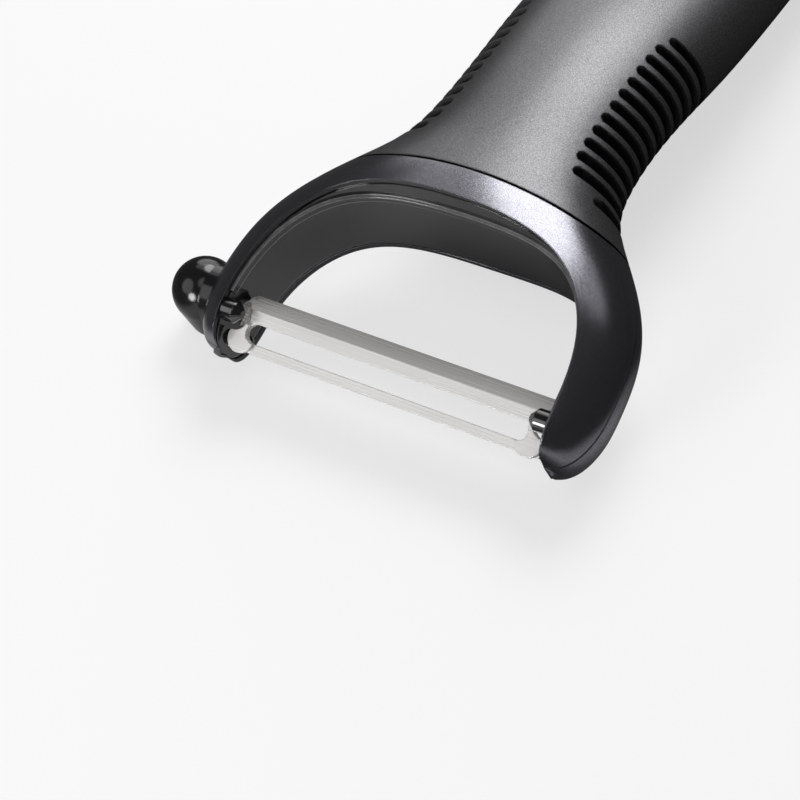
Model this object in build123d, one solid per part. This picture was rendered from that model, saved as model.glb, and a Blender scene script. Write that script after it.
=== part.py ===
from build123d import *
import math
import os

# Vegetable peeler with a swivelling blade between the two arms of a horseshoe head.
# All lengths are in millimetres. The pieces are drawn about the blade's pivot axis: X runs along the
# blade, Y from the blade up the handle, and Z out of the front. At the end the whole peeler is laid on
# its back on a table, with the middle of its base at the origin.

# Head
opening_width = 52.0
opening_height = 21.9
arm_thickness = 5.7
arm_reach = 7.6
arm_tip_round = 1.1
head_depth = 24.6
widest_height = 6.0
frame_wall = 1.6
cover_lip = 0.9
groove_width = 0.5
groove_depth = 0.4
cover_parting_height = 1.8
bead_height = 5.6
bead_width = 1.2
bead_rise = 0.5

# Spine of the handle, which bends back from the plane of the head
bend_radius = 145.0
bend_angle = 24.5
section_spacing = 4.0
waist_place = 39.5
full_grip_place = 64.0
taper_place = 112.0
handle_end = 142.0
end_round_length = 15.0

# Seam between the head and the soft grip
seam_height = 26.4
seam_crown = 2.0
seam_half_width = 22.0
seam_gap = 0.4

# Handle
waist_width = 32.4
grip_width = 33.8
tail_width = 32.8
grip_depth = 20.0
grip_wall = 3.0
tang_foot_place = 11.0
tang_section_step = 3
eyelet_link_width = 9.0
eyelet_wall = 2.2
eyelet_depth = 10.0
hole_lining = 1.6
hang_hole_radius = 4.0
hang_hole_end_gap = 12.0

# Soft fins in the sides of the grip
fin_count = 13
fin_first_place = 29.2
fin_pitch = 2.5
fin_slot_width = 1.75
fin_inner_reach = 10.3
fin_waist_step = 5.7
fin_top_step = 1.1
fin_end_corner = 0.5

# Blade
blade_end_gap = 1.0
blade_thickness = 0.6
flange_height = 2.4
flange_depth = 0.5
fold_height = -0.7
fold_depth = 3.5
edge_height = -6.3
edge_depth = 1.35
heel_radius = 2.1
heel_margin = 1.9
heel_drop = 0.4
slot_end_margin = 2.4
ear_radius = 2.2
window_radius = 2.1
window_end_margin = 0.1

# Pivot pins
pin_radius = 1.3
pin_running_gap = 0.05
pin_reach = 2.2
pin_nose = 0.4
pin_seat_depth = 1.4

# Stops that limit the swing of the blade, in front of it and behind it
back_swing = 25.0
front_stop_radius = 1.6
front_stop_reach = 3.0
front_stop_nose = 1.0
front_stop_height = -2.4
front_stop_depth = 5.0
rear_stop_radius = 1.1
rear_stop_reach = 2.4
rear_stop_nose = 0.5
rear_stop_gap = 0.3

# Scoop for potato eyes on the left arm
scoop_radius = 4.9
scoop_wall = 1.3
scoop_standoff = 3.8
scoop_height = 1.7
scoop_dome_depth = 3.0
scoop_rim_depth = 8.4
scoop_neck_radius = 4.5

# Cuts run this far past what they cut
overrun = 3.0

# Share of the opening's half width and height that its rounded corners reach
opening_corner_share = 0.77
# Places down the arm as shares of its reach, with shares of the arm's thickness and of the head's depth
arm_tip_shares = [(1.0, 0.23, 0.42), (0.93, 0.38, 0.62), (0.82, 0.54, 0.84), (0.68, 0.72, 0.94), (0.48, 0.89, 0.985),
                  (0.25, 0.97, 1.0)]
# Places from the widest level to the waist, with shares of the change in width and in depth
shoulder_shares = [(0.0, 0.0, 0.0), (0.18, 0.07, 0.0), (0.36, 0.25, 0.1), (0.54, 0.545, 0.34), (0.77, 0.9, 0.8)]
# Places before the handle's end as shares of its rounded length, with shares of width and depth
handle_end_shares = [(1.2, 0.99, 1.0), (0.6, 0.91, 0.92), (0.3, 0.74, 0.76), (0.12, 0.52, 0.55), (0.0, 0.22, 0.24)]
# Shares of the blade's face, from the fold to the cutting edge, for its slot, end windows, ears and rear stops
slot_start_share = 0.3
slot_end_share = 0.77
window_share = 0.24
ear_share = 0.75
rear_stop_share = 0.8

half_opening = opening_width / 2
half_head_width = half_opening + arm_thickness
half_blade = half_opening - blade_end_gap
bend_length = bend_radius * math.radians(bend_angle)
hang_hole_place = handle_end - hang_hole_end_gap


def spine(place):
    """Plane of the section at a place on the spine, with its X across the handle and its Y to the back."""
    turned = min(max(place, 0), bend_length) / bend_radius
    past_bend = max(place - bend_length, 0)
    y = min(place, 0) + bend_radius * math.sin(turned) + past_bend * math.cos(turned)
    z = -bend_radius * (1 - math.cos(turned)) - past_bend * math.sin(turned)
    along = (0, math.cos(turned), -math.sin(turned))
    return Plane(origin=(0, y, z), x_dir=(1, 0, 0), z_dir=along)


def body_stations():
    """Places along the spine with the half width and half depth of the outer body, read off a smooth line."""
    stations = []
    for place, thickness, depth in arm_tip_shares:
        stations.append((-place * arm_reach, half_opening + thickness * arm_thickness, depth * head_depth / 2))
    for place, width_change, depth_change in shoulder_shares:
        height = widest_height + place * (waist_place - widest_height)
        width = half_head_width + width_change * (waist_width / 2 - half_head_width)
        depth = head_depth / 2 + depth_change * (grip_depth - head_depth) / 2
        stations.append((height, width, depth))
    stations.append((waist_place, waist_width / 2, grip_depth / 2))
    stations.append((full_grip_place, grip_width / 2, grip_depth / 2))
    stations.append(((full_grip_place + taper_place) / 2, grip_width / 2, grip_depth / 2))
    stations.append((taper_place, tail_width / 2, grip_depth / 2))
    for place, width, depth in handle_end_shares:
        stations.append((handle_end - place * end_round_length, width * tail_width / 2, depth * grip_depth / 2))
    line = Spline(*stations)
    count = round(line.length / section_spacing)
    return [tuple(line.position_at(index / count)) for index in range(count + 1)]


def loft_sections(stations, inset=0, ruled=False):
    """Solid through elliptical sections along the spine, drawn in on all sides by the inset."""
    sections = [spine(place) * Ellipse(width - inset, depth - inset) for place, width, depth in stations]
    return loft(sections, ruled=ruled)


def opening_prism(grow):
    """Horseshoe opening between the arms, grown outward all round."""
    half = half_opening + grow
    top = opening_height + grow
    low = -(arm_reach + overrun)
    corner = (half * opening_corner_share, top * opening_corner_share)
    outline = [
        Line((half, low), (half, 0)),
        Spline((half, 0), corner, (0, top), tangents=[(0, 1), (-1, 0)]),
        Spline((0, top), (-corner[0], corner[1]), (-half, 0), tangents=[(-1, 0), (0, -1)]),
        Line((-half, 0), (-half, low)),
        Line((-half, low), (half, low)),
    ]
    return extrude(make_face(outline), amount=head_depth, both=True)


def below_seam(gap=0):
    """Everything on the head's side of the arched seam, moved up the handle by the gap."""
    across = half_head_width + overrun
    low = -(arm_reach + overrun)
    top = seam_height + gap
    rise = seam_crown * (across / seam_half_width) ** 2
    outline = [
        ThreePointArc((-across, top - rise), (0, top), (across, top - rise)),
        Line((across, top - rise), (across, low)),
        Line((across, low), (-across, low)),
        Line((-across, low), (-across, top - rise)),
    ]
    return extrude(make_face(outline), amount=2 * head_depth, both=True)


def spine_slab(low, high, start):
    """Layer between two heights above the spine, from a place on the arms to the grip, across the whole head."""
    across = half_head_width + overrun
    angle = waist_place / bend_radius

    def on_arc(height, share):
        radius = bend_radius + height
        return (radius * math.sin(angle * share), radius * math.cos(angle * share) - bend_radius)

    outline = [
        ThreePointArc((0, high), on_arc(high, 1 / 2), on_arc(high, 1)),
        Line(on_arc(high, 1), on_arc(low, 1)),
        ThreePointArc(on_arc(low, 1), on_arc(low, 1 / 2), (0, low)),
    ]
    if start < 0:
        outline += [Line((0, low), (start, low)), Line((start, low), (start, high)), Line((start, high), (0, high))]
    else:
        outline.append(Line((0, low), (0, high)))
    return extrude(Plane.YZ * make_face(outline), amount=across, both=True)


def hole_cylinder(radius, length):
    """Cylinder on the axis of the hanging hole, square to the handle."""
    return spine(hang_hole_place) * Rot(90, 0, 0) * Cylinder(radius, length)


def edge_grooves(stations):
    """Grooves round the opening, at its front and back, between the covers and the glossy frame."""
    layer = loft_sections(stations, cover_lip) - loft_sections(stations, cover_lip + groove_width)
    return opening_prism(groove_depth) & layer


def make_tang(stations):
    """Hard tang inside the grip, from the shoulders of the head to an eyelet round the hanging hole."""
    inner = [station for station in stations if tang_foot_place < station[0] <= taper_place]
    inner = inner[::-tang_section_step][::-1]
    tang = loft_sections(inner, grip_wall, ruled=True)
    link_start = inner[-1][0] - overrun
    link_length = hang_hole_place - link_start
    link = Box(eyelet_link_width, eyelet_depth, link_length)
    tang += spine(link_start) * Pos(0, 0, link_length / 2) * link
    tang += hole_cylinder(hang_hole_radius + hole_lining + eyelet_wall, eyelet_depth)
    return tang - hole_cylinder(hang_hole_radius + hole_lining, grip_depth)


def turned(height, depth, angle):
    """A point of the blade's section, swung about the pivot axis, its edge to the back for a positive angle."""
    swing = math.radians(angle)
    return height * math.cos(swing) - depth * math.sin(swing), height * math.sin(swing) + depth * math.cos(swing)


def make_stop(side, radius, reach, nose, height, depth):
    """Round stop on an arm's inner wall, with a tapered nose towards the middle of the opening."""
    stop = Cylinder(radius, reach + frame_wall)
    stop = chamfer(stop.edges().sort_by(Axis.Z)[0], nose)
    return Pos(side * (half_opening + (frame_wall - reach) / 2), height, depth) * Rot(0, side * 90, 0) * stop


def make_stops():
    """Front stops that stand in the blade's end notches, and rear stops behind its cutting edge."""
    slope = math.atan2(edge_depth - fold_depth, edge_height - fold_height) + math.radians(back_swing)
    standoff = blade_thickness + rear_stop_gap + rear_stop_radius
    rear_height, rear_depth = turned(*face_point(rear_stop_share), back_swing)
    rear_height -= standoff * math.sin(slope)
    rear_depth += standoff * math.cos(slope)
    stops = []
    for side in (-1, 1):
        stops.append(make_stop(side, front_stop_radius, front_stop_reach, front_stop_nose,
                               front_stop_height, front_stop_depth))
        stops.append(make_stop(side, rear_stop_radius, rear_stop_reach, rear_stop_nose,
                               rear_height, rear_depth))
    return stops


def make_frame(stations, head, tang):
    """Glossy band that lines the opening, with its bead and stops, and the tang that carries the grip."""
    inside = opening_prism(0)
    under_covers = loft_sections(stations, cover_lip)
    lining = head & opening_prism(frame_wall) & under_covers
    frame = lining + tang - inside
    bead = spine_slab(bead_height - bead_width / 2, bead_height + bead_width / 2, 0)
    frame += bead & (opening_prism(frame_wall / 2) - opening_prism(-bead_rise)) & under_covers
    return frame + [(stop & inside) + (stop & under_covers) for stop in make_stops()]


def make_covers(head, frame):
    """Front and rear covers of the head, which meet on a parting line round the outside of the arms."""
    shell = head - frame
    low = -(arm_reach + overrun)
    front = shell & spine_slab(cover_parting_height, head_depth, low)
    rear = shell & spine_slab(-head_depth, cover_parting_height, low)
    return front, rear


def arm_tip_rounding(side):
    """Cutter that rounds the inner corner at the tip of an arm."""
    start = arm_tip_round - arm_reach
    low = -(arm_reach + overrun)
    slant = arm_tip_round * (1 - math.sqrt(1 / 2))
    outline = [
        ThreePointArc((half_opening, start), (half_opening + slant, -arm_reach + slant),
                      (half_opening + arm_tip_round, -arm_reach)),
        Line((half_opening + arm_tip_round, -arm_reach), (half_opening + arm_tip_round, low)),
        Line((half_opening + arm_tip_round, low), (half_opening - overrun, low)),
        Line((half_opening - overrun, low), (half_opening - overrun, start)),
        Line((half_opening - overrun, start), (half_opening, start)),
    ]
    cutter = extrude(make_face(outline), amount=head_depth, both=True)
    return cutter if side > 0 else mirror(cutter, about=Plane.YZ)


def pin_hole(side):
    """Hole in an arm's inner wall that the pivot pin is pressed into."""
    return Pos(side * half_opening, 0, 0) * Rot(0, 90, 0) * Cylinder(pin_radius, 2 * pin_seat_depth)


def make_grip(body, tang):
    """Soft overmoulded grip, with a row of thin fins in each side and the hanging hole."""
    grip = body - below_seam(seam_gap) - hole_cylinder(hang_hole_radius, grip_depth + overrun)
    return grip - tang - fin_slots()


def fin_slots():
    """Slots across both sides of the grip, down to the tang, which leave the soft fins between them."""
    tall = grip_depth + overrun
    half_slot = fin_slot_width / 2
    slots = []
    for index in range(fin_count):
        inner = fin_inner_reach + fin_waist_step / (1 + index) ** 2 + fin_top_step / (fin_count - index) ** 2
        for side in (-1, 1):
            end = side * inner
            straight = side * (inner + fin_end_corner)
            outer = side * half_head_width
            outline = Polyline(
                (outer, half_slot), (straight, half_slot), (end, half_slot - fin_end_corner),
                (end, fin_end_corner - half_slot), (straight, -half_slot), (outer, -half_slot), close=True)
            slot = extrude(Plane.XZ * make_face(outline), amount=tall / 2, both=True)
            slots.append(spine(fin_first_place + index * fin_pitch) * slot)
    return slots


def make_scoop(head):
    """Round-nosed cup on the outside of the left arm, open to the back, for lifting out potato eyes."""
    centre = Pos(-(half_head_width + scoop_standoff), scoop_height, 0)
    length = scoop_rim_depth - scoop_dome_depth
    barrel = Pos(0, 0, -scoop_dome_depth - length / 2) * Cylinder(scoop_radius, length)
    cup = barrel + Pos(0, 0, -scoop_dome_depth) * Sphere(scoop_radius)
    neck_length = scoop_standoff + arm_thickness / 2
    neck = Rot(0, 90, 0) * Cylinder(scoop_neck_radius, neck_length)
    neck += Pos(0, 0, -length / 2) * Box(neck_length, 2 * scoop_neck_radius, length)
    cup += Pos(neck_length / 2, 0, -scoop_dome_depth) * neck
    bore = scoop_radius - scoop_wall
    hollow = Pos(0, 0, -scoop_dome_depth - length / 2 - overrun / 2) * Cylinder(bore, length + overrun)
    hollow += Pos(0, 0, -scoop_dome_depth) * Sphere(bore)
    return centre * (cup - hollow) - head


def offset_corner(before, corner, after, thickness):
    """The point inside a corner of the blade's section, one thickness from both of its sides."""
    first = (Vector(*corner) - Vector(*before)).normalized()
    second = (Vector(*after) - Vector(*corner)).normalized()
    first_normal = Vector(first.Y, -first.X) * -1
    second_normal = Vector(second.Y, -second.X) * -1
    middle = (first_normal + second_normal).normalized()
    return Vector(*corner) + middle * (thickness / middle.dot(first_normal))


def face_point(share):
    """Point on the blade's face between the fold and the cutting edge, as height and depth."""
    height = fold_height + share * (edge_height - fold_height)
    depth = fold_depth + share * (edge_depth - fold_depth)
    return height, depth


def make_blade():
    """Stamped blade: a flange folded along its top, a slotted cutting face, and an ear at each end."""
    top = (flange_height, flange_depth)
    fold = (fold_height, fold_depth)
    edge = (edge_height, edge_depth)
    inner_fold = offset_corner(top, fold, edge, blade_thickness)
    flange_run = (Vector(*fold) - Vector(*top)).normalized()
    face_run = (Vector(*edge) - Vector(*fold)).normalized()
    inner_top = Vector(*top) + Vector(-flange_run.Y, flange_run.X) * blade_thickness
    inner_edge = Vector(*edge) + Vector(-face_run.Y, face_run.X) * blade_thickness
    section = make_face(Polyline(top, fold, edge, inner_edge, inner_fold, inner_top, close=True))
    blade = extrude(Plane.YZ * section, amount=half_blade, both=True)

    slope = math.degrees(math.atan2(edge_depth - fold_depth, edge_height - fold_height))
    face_length = math.hypot(edge_depth - fold_depth, edge_height - fold_height)
    heel_y, heel_z = face_point(1 + (heel_drop - heel_radius) / face_length)
    for side in (-1, 1):
        heel = extrude(Circle(heel_radius), amount=blade_thickness)
        blade += Pos(side * (half_blade - heel_margin), heel_y, heel_z) * Rot(slope + 180, 0, 0) * heel
    slot_width = (slot_end_share - slot_start_share) * face_length
    slot_y, slot_z = face_point((slot_start_share + slot_end_share) / 2)
    slot_length = 2 * (half_blade - slot_end_margin)
    slot = extrude(SlotOverall(slot_length, slot_width), amount=overrun / 2, both=True)
    blade -= Pos(0, slot_y, slot_z) * Rot(slope + 180, 0, 0) * slot

    ear_outline = Circle(ear_radius) + make_face(Polyline(top, fold, face_point(ear_share), (0, 0), close=True))
    ear_outline -= Circle(pin_radius + pin_running_gap)
    window_y, window_z = face_point(window_share)
    for side in (-1, 1):
        ear = extrude(Plane.YZ * ear_outline, amount=blade_thickness)
        blade += Pos(side * half_blade - (blade_thickness if side > 0 else 0), 0, 0) * ear
        window = Cylinder(window_radius, overrun)
        place = Pos(side * (half_blade - window_end_margin), window_y, window_z)
        blade -= place * Rot(slope + 180, 0, 0) * window
    return blade


def make_pin(side):
    """Pivot pin pressed through the frame's wall, with a tapered nose inside the blade's ear."""
    length = pin_reach + pin_seat_depth
    pin = Cylinder(pin_radius, length)
    pin = chamfer(pin.edges().sort_by(Axis.Z)[0], pin_nose)
    return Pos(side * (half_opening + pin_seat_depth - length / 2), 0, 0) * Rot(0, side * 90, 0) * pin


def rest_angle(stations):
    """Angle by which the peeler turns about X to lie on its back, on the arm tips and the handle's end."""
    points = []
    for place, width, depth in stations:
        plane = spine(place)
        edge_share = min(half_opening / width, 1) if place < widest_height else 0
        back = depth * math.sqrt(1 - edge_share ** 2)
        points.append((plane.origin.Y - plane.z_dir.Z * -back, plane.origin.Z - plane.z_dir.Y * back))
    middle = (stations[0][0] + handle_end) / 2
    tips = [point for point in points if point[0] < middle]
    ends = [point for point in points if point[0] > middle]

    def height_at_middle(pair):
        (y1, z1), (y2, z2) = pair
        return z1 + (z2 - z1) * (middle - y1) / (y2 - y1)

    (y1, z1), (y2, z2) = min(((tip, end) for tip in tips for end in ends), key=height_at_middle)
    return -math.degrees(math.atan2(z2 - z1, y2 - y1))


def build():
    stations = body_stations()
    body = loft_sections(stations)
    tang = make_tang(stations)
    head = (body & below_seam()) - opening_prism(0) - edge_grooves(stations)
    head = head - arm_tip_rounding(-1) - arm_tip_rounding(1)
    frame = make_frame(stations, head, tang)
    front_cover, rear_cover = make_covers(head, frame)
    pieces = {
        "soft_grip": make_grip(body, tang),
        "core_frame": frame - pin_hole(-1) - pin_hole(1),
        "front_head_cover": front_cover,
        "rear_head_cover": rear_cover,
        "potato_eye_scoop": make_scoop(body),
        "blade": make_blade(),
        "left_pivot_pin": make_pin(-1),
        "right_pivot_pin": make_pin(1),
    }
    lay_down = Rot(rest_angle(stations), 0, 0)
    pieces = {name: lay_down * piece for name, piece in pieces.items()}
    box = Compound(list(pieces.values())).bounding_box()
    to_origin = Pos(-(box.min.X + box.max.X) / 2, -(box.min.Y + box.max.Y) / 2, -box.min.Z)
    return {name: to_origin * piece for name, piece in pieces.items()}, to_origin * lay_down


if __name__ == "__main__":
    pieces, placing = build()
    os.makedirs("parts", exist_ok=True)
    for name, piece in pieces.items():
        export_step(piece, f"parts/{name}.step")
    hole = (placing * spine(hang_hole_place).location)
    print("turned about X by", placing.orientation.X, "and moved by", placing.position)
    print("hanging hole at", hole.position, "across", Plane(hole).y_dir)
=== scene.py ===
import bpy
import bmesh
import math
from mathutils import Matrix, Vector

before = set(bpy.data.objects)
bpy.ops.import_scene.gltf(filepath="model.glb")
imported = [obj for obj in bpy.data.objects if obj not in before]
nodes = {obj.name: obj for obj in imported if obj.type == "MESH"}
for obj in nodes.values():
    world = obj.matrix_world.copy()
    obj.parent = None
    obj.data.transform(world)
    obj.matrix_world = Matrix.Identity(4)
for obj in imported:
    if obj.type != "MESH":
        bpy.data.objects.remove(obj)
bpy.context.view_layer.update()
print("frame loaded:", len(nodes), "nodes")


# Shader maths: a socket that adds Math nodes when it is used in a sum
class Sock:
    def __init__(self, mat, out):
        self.mat, self.out = mat, out

    def calc(self, kind, a, b):
        return self.mat.node("ShaderNodeMath", {"operation": kind}, {0: a, 1: b})[0]

    def __add__(self, other): return self.calc("ADD", self, other)
    def __radd__(self, other): return self.calc("ADD", other, self)
    def __sub__(self, other): return self.calc("SUBTRACT", self, other)
    def __rsub__(self, other): return self.calc("SUBTRACT", other, self)
    def __mul__(self, other): return self.calc("MULTIPLY", self, other)
    def __rmul__(self, other): return self.calc("MULTIPLY", other, self)
    def __abs__(self): return self.calc("ABSOLUTE", self, 0.0)
    def above(self, level): return self.calc("GREATER_THAN", self, level)
    def below(self, level): return self.calc("LESS_THAN", self, level)


class Mat:
    def __init__(self, name):
        self.data = bpy.data.materials.new(name)
        self.data.use_nodes = True
        self.tree = self.data.node_tree
        self.tree.nodes.clear()
        self.end = self.tree.nodes.new("ShaderNodeOutputMaterial")
        self.place = self.node("ShaderNodeTexCoord", {}, {})["Object"]

    # adds one node: its settings first, then the values or links of its sockets
    def node(self, kind, settings, sockets):
        made = self.tree.nodes.new(kind)
        for key, value in settings.items():
            if key == "stops":
                ramp = made.color_ramp
                while len(ramp.elements) < len(value):
                    ramp.elements.new(0.5)
                for stop, (at, shade) in zip(ramp.elements, value):
                    stop.position = at
                    stop.color = (shade, shade, shade, 1)
            else:
                setattr(made, key, value)
        for key, value in sockets.items():
            if isinstance(value, Sock):
                self.tree.links.new(value.out, made.inputs[key])
            else:
                made.inputs[key].default_value = value
        return Outs(self, made)

    def noise(self, scale, detail=3.0, rough=0.55, stretch=None):
        place = self.place
        if stretch:
            place = self.node("ShaderNodeMapping", {}, {"Vector": place, "Scale": stretch})["Vector"]
        return self.node("ShaderNodeTexNoise", {}, {"Vector": place, "Scale": scale, "Detail": detail,
                                                    "Roughness": rough})["Fac"]

    def ramp(self, value, *stops):
        return self.node("ShaderNodeValToRGB", {"stops": stops}, {"Fac": value})["Color"]

    def mix(self, share, first, second):
        return self.node("ShaderNodeMix", {"data_type": "RGBA"}, {0: share, 6: first, 7: second})[2]

    # surface relief over edges that look rounded by the radius
    def relief(self, height, strength, distance, radius):
        rounded = self.node("ShaderNodeBevel", {"samples": 4}, {"Radius": radius})["Normal"]
        return self.node("ShaderNodeBump", {}, {"Height": height, "Strength": strength, "Distance": distance,
                                                "Normal": rounded})["Normal"]

    # a vector as three numbers
    def split(self, vector):
        parts = self.node("ShaderNodeSeparateXYZ", {}, {0: vector})
        return [parts[axis] for axis in "XYZ"]

    # true normal of the surface as three numbers
    def facing(self):
        return self.split(self.node("ShaderNodeNewGeometry", {}, {})["True Normal"])

    def finish(self, **sockets):
        shader = self.node("ShaderNodeBsdfPrincipled", {}, {key.replace("_", " "): value
                                                           for key, value in sockets.items()})
        self.tree.links.new(shader[0].out, self.end.inputs["Surface"])
        return self.data


class Outs:
    def __init__(self, mat, made):
        self.mat, self.made = mat, made

    def __getitem__(self, key):
        return Sock(self.mat, self.made.outputs[key])


# Spine of the handle in metres, for marks that follow it: the y and z where it starts, the x that it stays
# at, the tilt of the head about X and the radius of its bend
spineStart = (-0.066691, 0.009688)
spineAcross = 0.004262
tilt = math.radians(18.591)
bendRadius = 0.145

# What the flecked finishes share, then the grip and the covers. Places and widths are in metres off or along
# the spine, and halfWidth and halfDepth run from slotFrom to slotTo as shares of full
flakeLook = dict(fleck=((0.40, 0.0), (0.66, 1.0)), cloud=60.0, cloudShare=0.05, pit=(0.003, 0.003, 0.003, 1),
                 bump=0.22, bumpDepth=0.00003, edge=0.0003)
gripLook = dict(dark=(0.070, 0.070, 0.073, 1), light=(0.176, 0.176, 0.182, 1), rough=0.37, grain=7500.0,
                sparkle=0.20, flake=0.82, slotFrom=0.0273, slotTo=0.0615, slotDark=0.94, skin=(0.965, 0.90),
                full=0.025,
                halfWidth=((0, 0.822), (0.095, 0.733), (0.20, 0.677), (0.31, 0.652), (0.54, 0.640),
                           (0.77, 0.653), (1, 0.672)),
                halfDepth=((0, 0.442), (0.095, 0.424), (0.20, 0.410), (0.43, 0.397), (0.54, 0.395),
                           (1, 0.399)))
coverLook = dict(dark=(0.105, 0.105, 0.119, 1), light=(0.225, 0.225, 0.248, 1), rough=0.215, grain=8500.0,
                 sparkle=0.12, flake=0.93, rimDark=0.90, rimFrom=0.0035, rimFacing=0.2, parting=0.0018,
                 partingWidth=0.00016, partingDark=0.9)

# What the two glossy mouldings share, then the frame with its bead's painted highlights, the scoop and the
# steel
mouldedLook = dict(colour=(0.0040, 0.0040, 0.0045, 1), worn=(0.009, 0.009, 0.010, 1), ripple=90.0, wear=700.0,
                   wearShare=0.05, bump=0.05, bumpDepth=0.0004, edge=0.0003)
glossLook = dict(mouldedLook, rough=0.05, sheen=1.9, beadEdges=(0.0050, 0.0062), beadWidth=0.00014,
                 beadColour=(0.30, 0.30, 0.30, 1), beadWear=0.6, beadLeast=0.2)
scoopLook = dict(mouldedLook, rough=0.16, sheen=1.5, beadEdges=())
steelLook = dict(dark=(0.42, 0.41, 0.40, 1), light=(0.83, 0.82, 0.805, 1), rough=0.27, metal=0.30,
                 lines=2600.0, lineStretch=(0.006, 1.0, 1.0), worn=130.0, wornStretch=(0.25, 1.0, 1.0),
                 lineShare=0.45, wornShare=0.5, lineRough=0.12, wornRough=0.10, bump=0.10,
                 bumpDepth=0.00005, edge=0.00022)


def flakePlastic(name, look, shade):
    mat = Mat(name)
    grain = mat.noise(look["grain"], 2.0, 0.6)
    cloud = mat.noise(flakeLook["cloud"], 2.0)
    colour = mat.mix(mat.ramp(grain, *flakeLook["fleck"]), look["dark"], look["light"])
    # painted shade: the mask from shade() mixes a near black colour into the grip's slots and onto the
    # covers' inner rim, along with the covers' dark parting line
    dark = shade(mat, look)
    colour = mat.mix(dark, colour, flakeLook["pit"])
    rough = look["rough"] + (cloud - 0.5) * flakeLook["cloudShare"] + (grain - 0.5) * look["sparkle"]
    return mat.finish(Base_Color=colour, Metallic=look["flake"] * (1 - dark), Roughness=rough,
                      Normal=mat.relief(grain, flakeLook["bump"], flakeLook["bumpDepth"], flakeLook["edge"]))


# Place across and along the spine and out from it
def spinePlace(mat):
    x, y, z = mat.split(mat.place)
    along, out = y - spineStart[0], z - spineStart[1]
    headY = along * math.cos(tilt) + out * math.sin(tilt)
    headZ = out * math.cos(tilt) - along * math.sin(tilt)
    toCentre = mat.node("ShaderNodeMath", {"operation": "SQRT"},
                        {0: headY * headY + (headZ + bendRadius) * (headZ + bendRadius)})[0]
    bent = headY.above(0.0)
    level = headZ * (1 - bent) + (toCentre - bendRadius) * bent
    turned = headY.calc("ARCTAN2", headY, headZ + bendRadius)
    return x - spineAcross, turned * bendRadius, level


# Share of painted shade inside the slots between the fins, from the depth below the grip's skin
def slotShade(mat, look):
    side, along, level = spinePlace(mat)
    share = (along - look["slotFrom"]) * (1 / (look["slotTo"] - look["slotFrom"]))
    width = mat.ramp(share, *look["halfWidth"]) * look["full"]
    depth = mat.ramp(share, *look["halfDepth"]) * look["full"]
    across, out = side.calc("DIVIDE", side, width), level.calc("DIVIDE", level, depth)
    deep = mat.node("ShaderNodeMapRange", {}, {"Value": across * across + out * out,
                                               "From Min": look["skin"][0],
                                               "From Max": look["skin"][1]})["Result"]
    return deep * along.above(look["slotFrom"]) * along.below(look["slotTo"]) * look["slotDark"]


# Share of painted shade on the cover's inner rim, and of the dark parting line between the covers
def rimShade(mat, look):
    level = spinePlace(mat)[2]
    _, ny, nz = mat.facing()
    facingOut = nz * math.cos(tilt) - ny * math.sin(tilt)
    rim = abs(level).above(look["rimFrom"]) * abs(facingOut).below(look["rimFacing"])
    line = abs(level - look["parting"]).below(look["partingWidth"])
    return 1 - (1 - rim * look["rimDark"]) * (1 - line * look["partingDark"])


def glossPlastic(name, look):
    mat = Mat(name)
    ripple = mat.noise(look["ripple"], 2.0)
    wear = mat.noise(look["wear"], 4.0, 0.6)
    colour = mat.mix(wear, look["colour"], look["worn"])
    rough = look["rough"] + (wear - 0.5) * look["wearShare"]
    if look["beadEdges"]:
        # painted highlight: two thin light lines along the bead's edges on the head, varied by the wear noise
        _, along, level = spinePlace(mat)
        low, high = [abs(level - edge).below(look["beadWidth"]) for edge in look["beadEdges"]]
        paintedBeadHighlight = (low + high) * along.above(0.0) * (wear * look["beadWear"] + look["beadLeast"])
        colour = mat.mix(paintedBeadHighlight, colour, look["beadColour"])
    return mat.finish(Base_Color=colour, Roughness=rough, IOR=look["sheen"],
                      Normal=mat.relief(ripple, look["bump"], look["bumpDepth"], look["edge"]))


def bladeSteel(name, look):
    mat = Mat(name)
    lines = mat.noise(look["lines"], 2.0, 0.5, stretch=look["lineStretch"])
    worn = mat.noise(look["worn"], 2.0, stretch=look["wornStretch"])
    colour = mat.mix(lines * look["lineShare"] + worn * look["wornShare"], look["dark"], look["light"])
    rough = look["rough"] + (lines - 0.5) * look["lineRough"] + (worn - 0.5) * look["wornRough"]
    return mat.finish(Base_Color=colour, Metallic=look["metal"], Roughness=rough,
                      Normal=mat.relief(lines, look["bump"], look["bumpDepth"], look["edge"]))


finishes = dict(
    grip=flakePlastic("softGripRubber", gripLook, slotShade),
    cover=flakePlastic("satinCover", coverLook, rimShade),
    gloss=glossPlastic("glossyFrame", glossLook),
    scoop=glossPlastic("glossyScoop", scoopLook),
    steel=bladeSteel("bladeSteel", steelLook),
)
wears = dict(soft_grip="grip", core_frame="gloss", front_head_cover="cover", rear_head_cover="cover",
             potato_eye_scoop="scoop", blade="steel", left_pivot_pin="steel", right_pivot_pin="steel")
for nodeName, finish in wears.items():
    for slot in nodes[nodeName].material_slots:
        slot.material = finishes[finish]
print("materials set")
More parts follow.
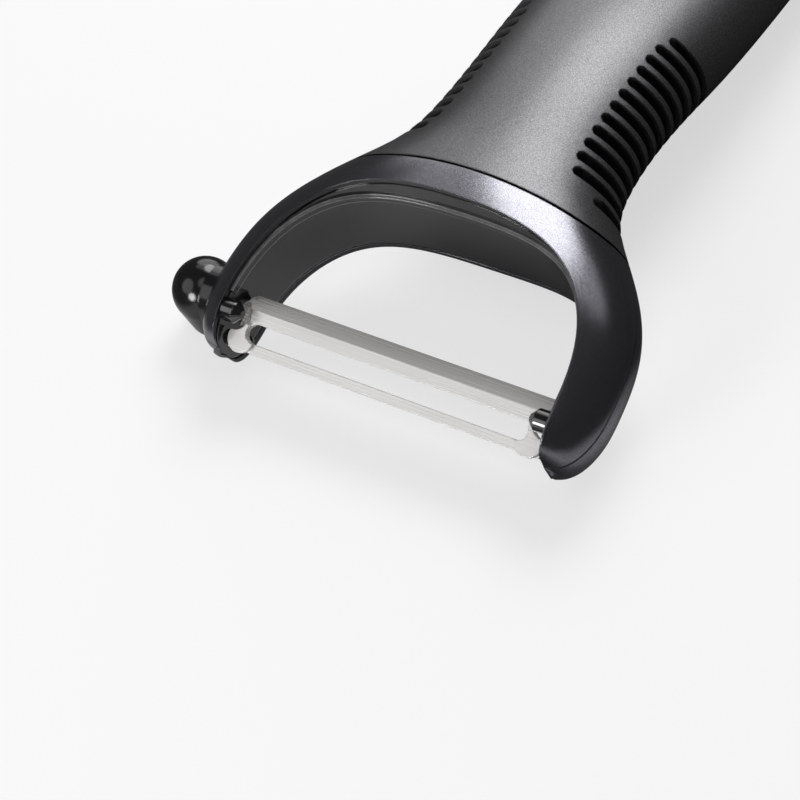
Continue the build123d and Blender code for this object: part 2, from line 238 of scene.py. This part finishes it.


# Floor, world, lamps and camera. mirrored is what rays other than the camera's meet across the floor, darker
# than the white that the camera sees. Between the two y of underHead it fades to a near black painted shadow
# of the peeler, which reflections and bounced light meet
stageLook = dict(size=1.2, colour=(0.84, 0.84, 0.84, 1), fill=0.06, paper=0.36, speck=(0.78, 0.78, 0.78, 1),
                 speckScale=300.0, speckShare=0.06,
                 mirrored=((0.0, 0.30), (0.45, 0.08), (0.480, 0.08), (0.486, 0.90), (0.503, 0.90),
                           (0.509, 0.06), (0.514, 0.06), (0.520, 0.80), (0.545, 0.60), (0.60, 0.45)),
                 underHead=(-0.056, -0.038), underShade=(0.06, 0.06, 0.06, 1))
cameraLook = dict(place=(0.14951, -0.23377, 0.24331), turn=(41.900, 8.744, 31.727), lens=106.58, sensor=36.0,
                  near=0.01)
lampAim = (0, -0.04, 0.01)
lamps = dict(
    keyPanel=dict(toward=(-0.04, 0.64, 0.77), far=0.60, size=(0.36, 0.38), power=2.0),
    widePanel=dict(toward=(-0.05, 0.60, 0.80), far=0.62, size=(0.98, 0.34), power=0.80),
    backLeftPanel=dict(toward=(-0.42, 0.79, 0.42), far=0.60, size=(0.45, 0.40), power=0.80),
    overhead=dict(toward=(0.25, -0.35, 1.0), far=0.60, size=(0.40, 0.40), power=0.45),
    frontLeftPanel=dict(toward=(-0.58, -0.58, 0.55), far=0.60, size=(0.44, 0.44), power=0.62),
    frontSpot=dict(toward=(-0.22, -0.94, 0.26), far=0.50, size=(0.19, 0.19), power=1.4),
)


def makeFloor():
    bm = bmesh.new()
    bmesh.ops.create_grid(bm, x_segments=2, y_segments=2, size=stageLook["size"])
    mesh = bpy.data.meshes.new("floor")
    bm.to_mesh(mesh)
    bm.free()
    floor = bpy.data.objects.new("floor", mesh)
    bpy.context.scene.collection.objects.link(floor)
    mat = Mat("floorPaper")
    speck = mat.noise(stageLook["speckScale"], 2.0)
    path = mat.node("ShaderNodeLightPath", {}, {})
    x, y, _ = mat.split(mat.place)
    mirrored = mat.ramp(x * (0.5 / stageLook["size"]) + 0.5, *stageLook["mirrored"])
    # painted shadow: past underHead the floor turns near black for reflections and bounced light, in place of
    # the peeler's shadow
    under = mat.node("ShaderNodeMapRange", {}, {"Value": y, "From Min": stageLook["underHead"][0],
                                                "From Max": stageLook["underHead"][1]})["Result"]
    colour = mat.mix(path["Is Camera Ray"], mat.mix(under, mirrored, stageLook["underShade"]),
                     mat.mix(speck * stageLook["speckShare"], stageLook["colour"], stageLook["speck"]))
    paper = mat.node("ShaderNodeBsdfDiffuse", {}, {"Color": colour})["BSDF"]
    white = mat.node("ShaderNodeEmission", {}, {"Color": (1, 1, 1, 1), "Strength": 1.0})["Emission"]
    share = path["Is Camera Ray"] * (1 - stageLook["paper"])
    seen = mat.node("ShaderNodeMixShader", {}, {0: share, 1: paper, 2: white})["Shader"]
    mat.tree.links.new(seen.out, mat.end.inputs["Surface"])
    mesh.materials.append(mat.data)


def makeWorld():
    world = bpy.data.worlds.new("studio")
    bpy.context.scene.world = world
    world.use_nodes = True
    tree = world.node_tree
    back = tree.nodes["Background"]
    back.inputs["Color"].default_value = (1, 1, 1, 1)
    path = tree.nodes.new("ShaderNodeLightPath")
    level = tree.nodes.new("ShaderNodeMapRange")
    level.inputs["To Min"].default_value = stageLook["fill"]
    level.inputs["To Max"].default_value = 1.0
    tree.links.new(path.outputs["Is Camera Ray"], level.inputs["Value"])
    tree.links.new(level.outputs["Result"], back.inputs["Strength"])


def makeLamp(name, toward, far, size, power):
    lamp = bpy.data.lights.new(name, "AREA")
    lamp.shape = "ELLIPSE"
    lamp.size, lamp.size_y = size
    lamp.energy = power
    thing = bpy.data.objects.new(name, lamp)
    bpy.context.scene.collection.objects.link(thing)
    aim = Vector(toward).normalized()
    thing.location = Vector(lampAim) + aim * far
    thing.visible_camera = False
    thing.rotation_euler = (-aim).to_track_quat("-Z", "Y").to_euler()


def makeCamera():
    data = bpy.data.cameras.new("camera")
    data.lens = cameraLook["lens"]
    data.sensor_width = cameraLook["sensor"]
    data.clip_start = cameraLook["near"]
    cam = bpy.data.objects.new("camera", data)
    cam.location = cameraLook["place"]
    cam.rotation_euler = [math.radians(angle) for angle in cameraLook["turn"]]
    bpy.context.scene.collection.objects.link(cam)
    bpy.context.scene.camera = cam


makeFloor()
makeWorld()
for lampName, lamp in lamps.items():
    makeLamp(lampName, **lamp)
makeCamera()
print("stage, lamps and camera set")

bpy.context.scene.view_settings.view_transform = "Standard"
